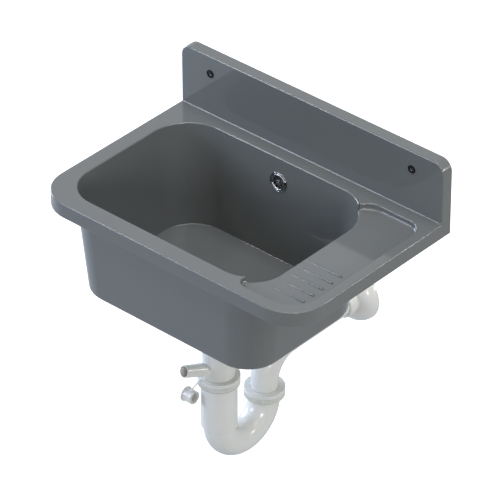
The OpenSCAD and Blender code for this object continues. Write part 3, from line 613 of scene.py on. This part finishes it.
def lathe(points, rounds=(), at=ORIGIN, along=TOP, steps=96):
    """A closed profile of (radius, height) in millimetres, spun round an axis.

    rounds pairs the index of a corner with its radius."""
    bm = bmesh.new()
    corners = [bm.verts.new(mm(r, 0, h)) for r, h in points]
    bm.faces.new(corners)
    for index, radius in dict(rounds).items():
        soften(bm, [corners[index]], radius, 4, "VERTICES")
    bmesh.ops.delete(bm, geom=list(bm.faces), context="FACES_ONLY")
    on_axis = [e for e in bm.edges if all(abs(v.co.x) < mm(0.001) for v in e.verts)]
    bmesh.ops.delete(bm, geom=on_axis, context="EDGES")
    bmesh.ops.spin(bm, geom=list(bm.verts) + list(bm.edges), cent=(0, 0, 0), axis=(0, 0, 1),
                   angle=2 * math.pi, steps=steps, use_merge=True)
    bmesh.ops.remove_doubles(bm, verts=bm.verts, dist=mm(0.002))
    bmesh.ops.recalc_face_normals(bm, faces=bm.faces)
    turn = Vector((0, 0, 1)).rotation_difference(Vector(along)).to_matrix().to_4x4()
    bmesh.ops.transform(bm, matrix=Matrix.Translation(mm(*at)) @ turn, verts=bm.verts)
    return bm


# %% [markdown]
# ### Fixings
# A rubber bush lines each fixing hole and shows as a black ring with a rounded
# head on the splashback. A steel sleeve inside it takes the screw.

# %% Bushes and sleeves
def two(make):
    """The same turned piece at both fixing holes."""
    return merge(*[make((x, 0, FIXING_Z)) for x in FIXINGS])


OUT = (0, -1, 0)
bush = [(3.7, 0), (FIXING_R, 0), (FIXING_R, SPLASH_T), (6.5, SPLASH_T), (6.5, SPLASH_T + 1.2),
        (3.7, SPLASH_T + 1.2)]
grommets = to_object("fixing_bushes", two(lambda at: lathe(bush, {4: 0.6, 5: 0.4}, at, OUT, 48)))
finish_piece(grommets, black_rubber, "sink", "black_rubber", "fixing_grommets")
sleeve = [(2.7, 0), (3.5, 0), (3.5, SPLASH_T), (2.7, SPLASH_T)]
sleeves = to_object("fixing_tubes", two(lambda at: lathe(sleeve, {2: 0.2, 3: 0.2}, at, OUT, 48)))
finish_piece(sleeves, brushed_steel, "sink", "steel", "fixing_sleeves")

# %% [markdown]
# ### The overflow
# The rosette is a pressed and plated ring with a stepped edge. A plate with eight
# slots sits inside it and a small screw holds it. The slots are dark gaps between
# thin spokes.

# %% Overflow rosette and its screw
rosette = to_object("overflow_ring", lathe(
    [(10.6, 0), (16, 0), (16, 1.3), (14.9, 1.5), (14.5, 0.9), (13.7, 0.9), (13.3, 2.2),
     (11.5, 2.2), (10.7, 1.1)], {2: 0.5, 3: 0.3, 6: 0.6, 7: 0.6}, OVERFLOW, OVERFLOW_OUT, 72))
plate = lathe([(0, -1.4), (11.2, -1.4), (11.2, 0.7), (0, 0.7)], {2: 0.2}, steps=72)
grille = to_object("overflow_grille", plate)
SLOTS, SLOT_R, SLOT_HALF = 8, (5.0, 9.3), 1.7
for i in range(SLOTS):
    slot = bars([((SLOT_R[0], -SLOT_HALF, -4), (SLOT_R[1], SLOT_HALF, 4))])
    turn = Matrix.Rotation((i + 0.5) * 2 * math.pi / SLOTS, 3, "Z")
    bmesh.ops.rotate(slot, verts=slot.verts, cent=ORIGIN, matrix=turn)
    cut(grille, slot)
place = Vector((0, 0, 1)).rotation_difference(OVERFLOW_OUT).to_matrix().to_4x4()
grille.data.transform(Matrix.Translation(OVERFLOW * MM) @ place)
shade(grille, 35)
finish_piece(rosette, chrome_plate, "sink", "chrome", "overflow_rosette")
finish_piece(grille, chrome_plate, "sink", "chrome", "overflow_rosette")
screw = to_object("overflow_screw_head", lathe(
    [(0, 0.7), (3.2, 0.7), (2.6, 2.3), (0, 2.3)], {2: 0.5}, steps=48))
cut(screw, bars([((-4, -0.4, 1.6), (4, 0.4, 4))]))
screw.data.transform(Matrix.Translation(OVERFLOW * MM) @ place)
shade(screw, 35)
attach(screw, "sink")
finish_piece(screw, chrome_plate, "sink", "chrome")

# %% [markdown]
# ### Nuts
# Each slip nut has a flat top that reaches to the pipe, a rounded edge, a plain
# band and a finely ribbed grip below it. The grip is turned as a groove with six
# steps to each rib, and its vertices then move outwards in a repeating bump.

# %% Slip nut with a ribbed grip
GRIP_RIBS, GROOVE, GRIP_RISE = 80, 1.7, 1.6


def slip_nut(name, radius, bore, height, top, axis, down=True):
    """A slip nut hanging from its top face, or standing on it when turned over."""
    low, high = 1.3, height - 5.9
    inner, root = radius - 4.2, radius - GROOVE
    profile = [(inner, 0), (radius - 0.5, 0), (radius - 0.1, 0.5), (radius - 0.1, 1.1),
               (root, low), (root, low + 0.4), (root, high - 0.4), (root, high),
               (radius, high + 0.3), (radius, height), (bore, height), (bore, height - 2.6),
               (inner, height - 2.6)]
    bm = lathe(profile, {9: 1.0}, steps=GRIP_RIBS * 6)
    for v in bm.verts:
        distance, z = math.hypot(v.co.x, v.co.y) / MM, v.co.z / MM
        if abs(distance - root) < 0.02 and low + 0.2 < z < high - 0.2:
            share = (math.atan2(v.co.y, v.co.x) / (2 * math.pi) * GRIP_RIBS) % 1
            rise = GRIP_RISE * max(0.0, math.sin(math.pi * share)) ** 0.7
            v.co.x *= 1 + rise / distance
            v.co.y *= 1 + rise / distance
    if not down:
        over = Matrix.Rotation(math.pi, 3, "X")
        bmesh.ops.rotate(bm, verts=bm.verts, cent=ORIGIN, matrix=over)
        bmesh.ops.translate(bm, verts=bm.verts, vec=mm(0, 0, height))
    bmesh.ops.translate(bm, verts=bm.verts, vec=mm(axis.x, axis.y, top - height))
    return to_object(name, bm, 40)


TRAP_OUT = Vector((DRAIN.x, -75.9, 0))
inlet = slip_nut("inlet_slip_nut", 32.2, 20.3, 15.3, -314.0, DRAIN)
finish_piece(inlet, trap_plastic, "inlet_union", "trap_plastic", "inlet_nut")
outlet = slip_nut("outlet_slip_nut", 31.8, 21.7, 15.3, -392.0, TRAP_OUT)
finish_piece(outlet, trap_plastic, "outlet_union", "trap_plastic", "outlet_nut")

# %% [markdown]
# ### The trap
# The trap is a moulded half-round bend with a wider sleeve at its inlet. A circle
# spun round the bend's centre gives the tube. The sleeve ends in a small rounded
# step, and a short straight socket stands at the other end.

# %% Sleeve, bend and socket
BEND_Z, BEND_R, TUBE_R = -407.0, 51.0, 24.3
SLEEVE_R, SLEEVE_BORE, SLEEVE_TOP = 27.7, 20.2, -322
SOCKET_BORE, SOCKET_TOP = 21.8, -398


def bend(start, radius, angle, tube, steps=64):
    """A closed round tube from a point, swept round a centre that's nearer the wall."""
    bm = bmesh.new()
    bmesh.ops.create_circle(bm, cap_ends=True, segments=64, radius=mm(tube),
                            matrix=Matrix.Translation(mm(*start)))
    centre = start + Vector((0, radius, 0))
    bmesh.ops.spin(bm, geom=list(bm.verts) + list(bm.edges) + list(bm.faces),
                   cent=mm(*centre), axis=(1, 0, 0), angle=angle, steps=steps)
    return bm


sleeve_body = lathe([(SLEEVE_BORE, BEND_Z), (SLEEVE_R, BEND_Z), (SLEEVE_R, SLEEVE_TOP),
                     (SLEEVE_BORE, SLEEVE_TOP)], {1: 1.2}, DRAIN)
u_bend = bend(point(DRAIN, BEND_Z), BEND_R, math.pi, TUBE_R)
socket = lathe([(SOCKET_BORE, BEND_Z - 0.2), (TUBE_R, BEND_Z - 0.2), (TUBE_R, SOCKET_TOP),
                (SOCKET_BORE, SOCKET_TOP)], (), TRAP_OUT)
trap = to_object("trap_body", merge(sleeve_body, u_bend, socket), 40)
finish_piece(trap, trap_plastic, "trap", "trap_plastic", "trap_bend")

# %% [markdown]
# ### The tail tube and its spigot
# Below the sink hangs a wide tube with a slanting spigot for an appliance hose.
# The tube narrows to a neck under the upper nut and goes into the trap's sleeve.
# The spigot tapers with one small step, and its mouth is open.

# %% Tail tube and spigot
tail = lathe([(17.6, -372.3), (20, -372.3), (20, -313.7), (24.8, -313.7), (24.8, -258.9),
              (21.2, -255.3), (21.2, -248), (23.6, -248), (23.6, -245), (17.6, -245)],
             {3: 1.2, 4: 1.5}, DRAIN)
SPIGOT = Vector((DRAIN.x, DRAIN.y, -304.4))
SPIGOT_OUT = Vector((-0.18828, -0.92542, 0.32887)).normalized()
spigot = lathe([(0, 8), (11.2, 8), (10.6, 39.4), (10.1, 40.4), (9.4, 67.9), (8.2, 67.9),
                (7.8, 20), (0, 20)], {2: 0.4, 4: 0.7, 5: 0.4}, SPIGOT, SPIGOT_OUT, 64)
tail_tube = to_object("tail_tube", tail, 40)
join(tail_tube, spigot)
shade(tail_tube, 38)
finish_piece(tail_tube, trap_plastic, "sink", "trap_plastic", "spigot_tube")

# %% [markdown]
# ### Upper nut
# The nut under the waste has the same grip as the others, but it hangs with its
# flat face down and is taller.

# %% Upper nut
upper = slip_nut("tail_slip_nut", 32.2, 21.5, 27.0, -224.3, DRAIN, down=False)
finish_piece(upper, trap_plastic, "tail_union", "trap_plastic", "tail_nut")

# %% [markdown]
# ### The cap and its strap
# A small cap hangs from under the spigot by a thin moulded strap. Its mouth faces
# right, with a plug tube inside it. The strap is a round bar with one bend, a
# ball at the bend and at its end, and a short pin across its root.

# %% Cap and strap
CAP = Vector((-71.45, -213.9, -347.4))
cap = to_object("spigot_cap_moulding", lathe(
    [(0, 0), (12.3, 0), (12.3, 2.4), (10.4, 2.4), (10.4, 18.5), (9.7, 18.5), (9.7, 16.9),
     (7.1, 16.9), (7.1, 18.3), (6.4, 18.3), (6.4, 2.4), (0, 2.4)],
    {1: 0.8, 2: 0.8, 4: 0.3, 5: 0.3, 8: 0.3, 9: 0.3}, CAP, (1, 0, 0), 64), 38)
STRAP_R, BALL_R, PIN_R, PIN_HALF = 1.4, 1.6, 1.5, Vector((2.2, 0, 0))
ROOT = Vector((-43.113, -209.667, -306.877))
KNEE = ROOT + Vector((-2.5, -0.5, -6))
TIP = CAP + Vector((11.47, 0, 10.95))


def ball(at):
    """A round joint or end for the strap."""
    bm = bmesh.new()
    bmesh.ops.create_uvsphere(bm, u_segments=24, v_segments=16, radius=mm(BALL_R),
                              matrix=Matrix.Translation(mm(*at)))
    return bm


for part in (rod(ROOT - PIN_HALF, ROOT + PIN_HALF, PIN_R, 24), rod(ROOT, KNEE, STRAP_R, 24),
             ball(KNEE), rod(KNEE, TIP, STRAP_R, 24), ball(TIP)):
    join(cap, part)
shade(cap, 40)
finish_piece(cap, trap_plastic, "cap", "trap_plastic", "spigot_cap")

# %% [markdown]
# ### The outlet
# The outlet pipe stands in the trap, turns back through a quarter bend and runs
# level past the splashback's back, as in the photo. A short stub of it stands
# behind the domed flange, for the drain in the wall.

# %% Outlet pipe
PIPE_Z, ELBOW_R, PIPE_R, PIPE_BORE = -333.5, 50.0, 21.4, 19
RISER_FOOT, FLANGE_Y, PIPE_END = -410.3, 137, 149
elbow_z, turn_y = PIPE_Z - ELBOW_R, TRAP_OUT.y + ELBOW_R
riser = lathe([(PIPE_BORE, RISER_FOOT), (PIPE_R, RISER_FOOT), (PIPE_R, elbow_z),
               (PIPE_BORE, elbow_z)], (), TRAP_OUT)
elbow = bend(point(TRAP_OUT, elbow_z), ELBOW_R, -math.pi / 2, PIPE_R, 32)
pipe = lathe([(PIPE_BORE, turn_y), (PIPE_R, turn_y), (PIPE_R, FLANGE_Y - 0.4), (21.0, FLANGE_Y),
              (21.0, PIPE_END), (PIPE_BORE, PIPE_END)],
             {4: 0.5}, (DRAIN.x, 0, PIPE_Z), (0, 1, 0))
outlet_pipe = to_object("outlet_pipe", merge(riser, elbow, pipe), 40)
finish_piece(outlet_pipe, trap_plastic, "outlet", "trap_plastic", "outlet_elbow")

# %% [markdown]
# The flange's dome is a quarter of a flattened circle, once for its inside and,
# 2 mm further out, once for its outside. A short collar holds the pipe.

# %% Wall flange
DOME_X, COLLAR_R, COLLAR_LOW, COLLAR_TOP = 25, 21.7, 14.5, 40.5


def quarter(wide, high, steps):
    """A quarter of an ellipse round the collar, from the wall up to its top."""
    turns = [i * math.pi / 2 / steps for i in range(steps + 1)]
    return [(DOME_X + wide * math.cos(a), high * math.sin(a)) for a in turns]


dome = [(COLLAR_R, COLLAR_LOW), (DOME_X, COLLAR_LOW)] + quarter(19.3, 20.5, 10)[::-1]
dome += quarter(21.3, 22.5, 12) + [(DOME_X, COLLAR_TOP), (COLLAR_R, COLLAR_TOP)]
flange = to_object("wall_flange_dome", lathe(dome, {len(dome) - 2: 0.8},
                                             (DRAIN.x, FLANGE_Y, PIPE_Z), OUT), 30)
finish_piece(flange, trap_plastic, "flange", "trap_plastic", "wall_flange")

# %% [markdown]
# ### The waste
# The steel strainer sits in the bowl's floor with a rounded lip and a cup with
# eight holes. A slotted screw clamps it to the plastic body below. The rubber
# plug rests in the cup.

# %% Strainer
strainer = to_object("waste_strainer_cup", lathe(
    [(0, -187.2), (25.7, -187.2), (25.7, -171.5), (35, -171.5), (35, -170.6), (34, -170.0),
     (24.7, -170), (24.3, -171), (23.3, -186), (0, -186)],
    {1: 2.0, 5: 0.5, 6: 0.6, 8: 1.0}, DRAIN), 30)
HOLES, HOLE_RING, HOLE_R = 8, Vector((14.2, 0, 0)), 3.4
drill = []
for i in range(HOLES):
    spot = Matrix.Rotation(i * 2 * math.pi / HOLES, 3, "Z") @ HOLE_RING + DRAIN
    drill.append(rod(point(spot, -190), point(spot, -180), HOLE_R, 32))
cut(strainer, merge(*drill))
shade(strainer, 30)
finish_piece(strainer, brushed_steel, "sink", "steel", "waste_strainer")

# %% Plug
plug = to_object("rubber_plug", lathe(
    [(0, -179.7), (23, -179.7), (24, -169.7), (27.5, -169.7), (27.0, -167.6), (26, -166.7),
     (7, -166.7), (3.5, -164.2), (3.5, -161.7), (5, -160.2), (5, -158.7), (4, -157.7),
     (0, -157.7)], {1: 0.8, 3: 0.4, 5: 1.0, 7: 1.0, 9: 0.6, 10: 0.6, 11: 0.6}, DRAIN), 40)
finish_piece(plug, black_rubber, "plug", "black_rubber", "sink_plug")

# %% [markdown]
# ### The overflow hose
# The hose is blown plastic with round ribs at 5 mm. It drops straight behind the
# bowl, turns forward and runs level into the waste. A row of circles along that
# route grows and shrinks with the ribs, and neighbours are bridged.

# %% Ribbed hose
HOSE_Y, HOSE_TOP, INLET_Z, HOSE_BEND, HOSE_LEVEL = -25.4, -72.2, -200.0, 45.0, 35.5
VALLEY_R, HOSE_RISE, HOSE_PITCH, PLAIN_END, PER_RIB = 10.6, 1.9, 5, 6, 10
drop = HOSE_TOP - INLET_Z - HOSE_BEND
arc = HOSE_BEND * math.pi / 2
length = drop + arc + HOSE_LEVEL


def hose_frame(s):
    """Where the hose's ring at a length along it sits, as a matrix."""
    if s < drop:
        y, z, a = HOSE_Y, HOSE_TOP - s, 0.0
    elif s < drop + arc:
        a = (s - drop) / HOSE_BEND
        y = HOSE_Y - HOSE_BEND * (1 - math.cos(a))
        z = INLET_Z + HOSE_BEND * (1 - math.sin(a))
    else:
        y, z, a = HOSE_Y - HOSE_BEND - (s - drop - arc), INLET_Z, math.pi / 2
    return Matrix.Translation(mm(DRAIN.x, y, z)) @ Matrix.Rotation(a, 4, "X")


def hose_radius(s):
    """The hose's radius at a length along it, plain near both ends."""
    if min(s, length - s) < PLAIN_END:
        return VALLEY_R
    return VALLEY_R + HOSE_RISE * max(0.0, -math.cos(2 * math.pi * s / HOSE_PITCH)) ** 0.6


hose, rows = bmesh.new(), []
total = int(length / HOSE_PITCH * PER_RIB)
for k in range(total + 1):
    s = length * k / total
    rows.append(bmesh.ops.create_circle(hose, segments=40, radius=mm(hose_radius(s)),
                                        matrix=hose_frame(s))["verts"])
for pair in zip(rows, rows[1:]):
    around = dict.fromkeys(e for row in pair for v in row for e in v.link_edges
                           if e.other_vert(v) in row)
    bmesh.ops.bridge_loops(hose, edges=list(around))
hose_piece = to_object("ribbed_overflow_hose", hose, 60)
finish_piece(hose_piece, hose_plastic, "sink", "hose_plastic", "overflow_hose")

# %% [markdown]
# ## The other solids
# The waste body, the seals, the cuffs and the screw's shank are simple turned
# shapes that are hidden when the sink is in use. Their solids from the CAD stay
# and get the same materials.

# %% Materials for the CAD solids that stay
stay = {
    "overflow_screw": chrome_plate, "overflow_seal": seal_rubber, "overflow_elbow": trap_plastic,
    "hose_upper_cuff": black_rubber, "hose_lower_cuff": black_rubber, "hose_nut": trap_plastic,
    "waste_screw": brushed_steel, "upper_seal": seal_rubber, "lower_seal": seal_rubber,
    "waste_body": trap_plastic, "tail_washer": seal_rubber, "inlet_seal": seal_rubber,
    "outlet_seal": seal_rubber}
for node, material in stay.items():
    solid = bpy.data.objects[node]
    solid.data.materials.clear()
    solid.data.materials.append(material)
print("stay as they are:", sorted(stay))

# %% [markdown]
# ## Stage, light and camera
# The photo is a catalogue shot: a pure white ground, a large soft light from
# above and left, and reflections of a pale room in the gloss. The floor is plain
# and pale and lies well below the trap, because the sink hangs on a wall. The
# camera sees it white, with a little glow, but it returns the light of a grey
# paper, which keeps the sink's underside dark.

# %% Floor
def plain(name, bounce, seen):
    """A matt studio paper: one grey for the light that it returns, another to the eye."""
    material, tree, shader = new_material(name, Roughness=0.9)
    path = add(tree, "ShaderNodeLightPath")
    tone = add(tree, "ShaderNodeMix", {"data_type": "RGBA", 6: srgb(bounce), 7: srgb(seen)},
               {0: path.outputs["Is Camera Ray"]})
    tree.links.new(tone.outputs[2], shader.inputs["Base Color"])
    glow = add(tree, "ShaderNodeMath", {"operation": "MULTIPLY", 1: FLOOR_GLOW},
               {0: path.outputs["Is Camera Ray"]})
    shader.inputs["Emission Color"].default_value = (1, 1, 1, 1)
    tree.links.new(glow.outputs["Value"], shader.inputs["Emission Strength"])
    return material


FLOOR_Z, FLOOR_SIZE, FLOOR_GLOW = -0.62, 6.0, 0.45
floor = bmesh.new()
bmesh.ops.create_grid(floor, x_segments=1, y_segments=1, size=FLOOR_SIZE,
                      matrix=Matrix.Translation((0, 0, FLOOR_Z)))
floor_piece = to_object("studio_floor", floor)
floor_piece.data.materials.append(plain("matt_studio_paper", "bcbcbc", "ffffff"))
print("floor at", FLOOR_Z, "m")

# %% [markdown]
# Seven softboxes stand round the sink, as in a catalogue studio. The large ones
# overhead and on the left light the basin, and one high on the right fills its
# shelf. A low one at the front left and a small one above it draw thin bright
# lines on the edges that run along the width. Two small ones on the right, in
# front and behind, give the trap's bend its two round highlights. Low lamps reach
# the trap and leave the depth of the bowl dark, as the photo has it.

# %% Lamps
AIM = Vector((0, -0.15, -0.15))


def softbox(name, at, power, size=1.5, colour="ffffff"):
    """A square light of a size in metres and a power in watts, aimed at the sink."""
    light = bpy.data.lights.new(name, "AREA")
    light.shape, light.size, light.energy = "SQUARE", size, power
    light.color = srgb(colour)[:3]
    lamp = bpy.data.objects.new(name, light)
    lamp.location = at
    lamp.rotation_euler = (AIM - Vector(at)).to_track_quat("-Z", "Y").to_euler()
    bpy.context.scene.collection.objects.link(lamp)
    print(f"{name}: {power} W, {size} m wide")


softbox("overhead_softbox", (0, -0.2, 2.6), 36)
softbox("left_softbox", (-2.8, -0.2, 0.4), 88, colour="d8e4ff")
softbox("front_left_softbox", (-1.65, -2.35, 0.75), 29, size=0.8, colour="d4e3ff")
softbox("front_right_softbox", (2.34, -1.74, 0.44), 20, size=0.6)
softbox("high_right_softbox", (1.9, -0.3, 1.9), 20)
softbox("back_right_softbox", (2.3, 1.45, 0.63), 14, size=0.5)
softbox("edge_softbox", (-1.75, -1.35, 2.1), 8, size=0.4)

# %% [markdown]
# The room itself is white. The camera and the gloss see it at full strength, and
# matt surfaces get only a fifth of it, so the lamps keep the shadows deep.

# %% World
world = bpy.data.worlds.new("studio")
bpy.context.scene.world = world
world.use_nodes = True
tree = world.node_tree
back = tree.nodes["Background"]
path = add(tree, "ShaderNodeLightPath")
mirrored = add(tree, "ShaderNodeMath", {"operation": "MAXIMUM"},
               {0: path.outputs["Is Glossy Ray"], 1: path.outputs["Is Transmission Ray"]})
shiny = add(tree, "ShaderNodeMix", {"data_type": "FLOAT", 2: 0.2, 3: 1.0},
            {0: mirrored.outputs["Value"]})
seen = add(tree, "ShaderNodeMix", {"data_type": "FLOAT", 3: 1.0},
           {0: path.outputs["Is Camera Ray"], 2: shiny.outputs[0]})
back.inputs["Color"].default_value = (1, 1, 1, 1)
tree.links.new(seen.outputs[0], back.inputs["Strength"])
print("world:", world.name)

# %% [markdown]
# The camera stands where the photographer's did, found from the rim's corners and
# the trap's length: a long lens at nearly six metres, from the right and above.

# %% Camera
EYE, ROLL, LENS = (3.17361, -3.72131, 3.22184), -0.182, 288.92
camera = bpy.data.cameras.new("photo_camera")
camera.lens, camera.sensor_width, camera.sensor_fit = LENS, 36.0, "HORIZONTAL"
camera.clip_end = 30
eye = bpy.data.objects.new("photo_camera", camera)
RIGHT, UP, BACK = (Vector(v) for v in ((0.7476, 0.6641, 0), (-0.3783, 0.4258, 0.8219),
                                       (0.5459, -0.6144, 0.5696)))
roll = math.radians(ROLL)
side = RIGHT * math.cos(roll) + UP * math.sin(roll)
over = UP * math.cos(roll) - RIGHT * math.sin(roll)
facing = Matrix((side, over, BACK)).transposed().to_4x4()
eye.matrix_world = Matrix.Translation(EYE) @ facing
bpy.context.scene.collection.objects.link(eye)
bpy.context.scene.camera = eye
bpy.context.scene.view_settings.view_transform = "Standard"
print("camera:", LENS, "mm at", EYE)
